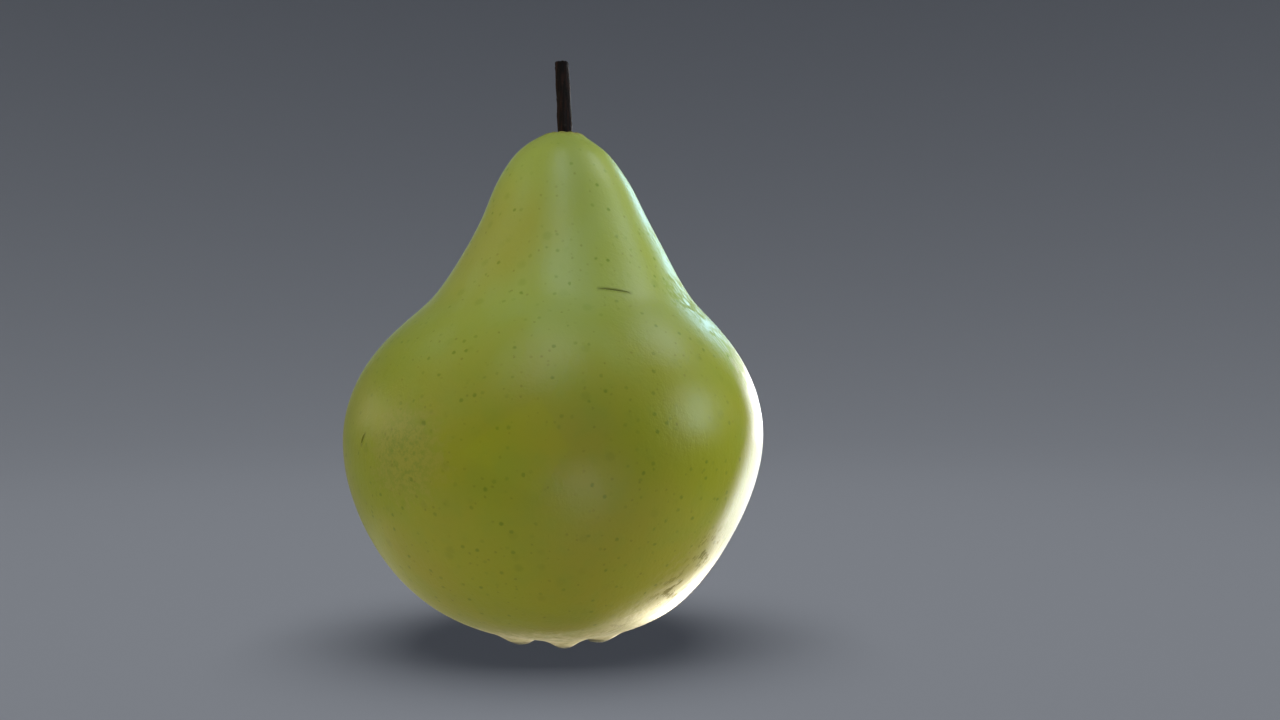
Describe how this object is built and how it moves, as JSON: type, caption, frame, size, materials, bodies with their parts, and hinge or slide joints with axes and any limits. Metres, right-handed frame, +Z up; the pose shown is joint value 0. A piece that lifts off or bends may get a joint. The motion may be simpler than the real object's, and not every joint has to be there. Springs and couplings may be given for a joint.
{
  "type": "pear",
  "caption": "Pear-shaped fruit with smooth spotted skin, a woody stem in the top of its neck and a dried calyx in the basin underneath. Stands upright on low lobes round the calyx.",
  "frame": {"origin": "on the plane that the pear stands on, under the middle of its bounding box", "axes": "+Z up along the pear, from its calyx to its stem; +X to the right and +Y away from a viewer in front of it"},
  "size_m": [0.0736, 0.0728, 0.1032],
  "materials": {
    "skin": "waxy fruit skin, semi-gloss",
    "stem_wood": "dark bark, dull",
    "dried_calyx": "withered, dull"
  },
  "bodies": {
    "root": {"fruit": "skin", "stem": "stem_wood", "calyx": "dried_calyx"}
  },
  "joints": []
}
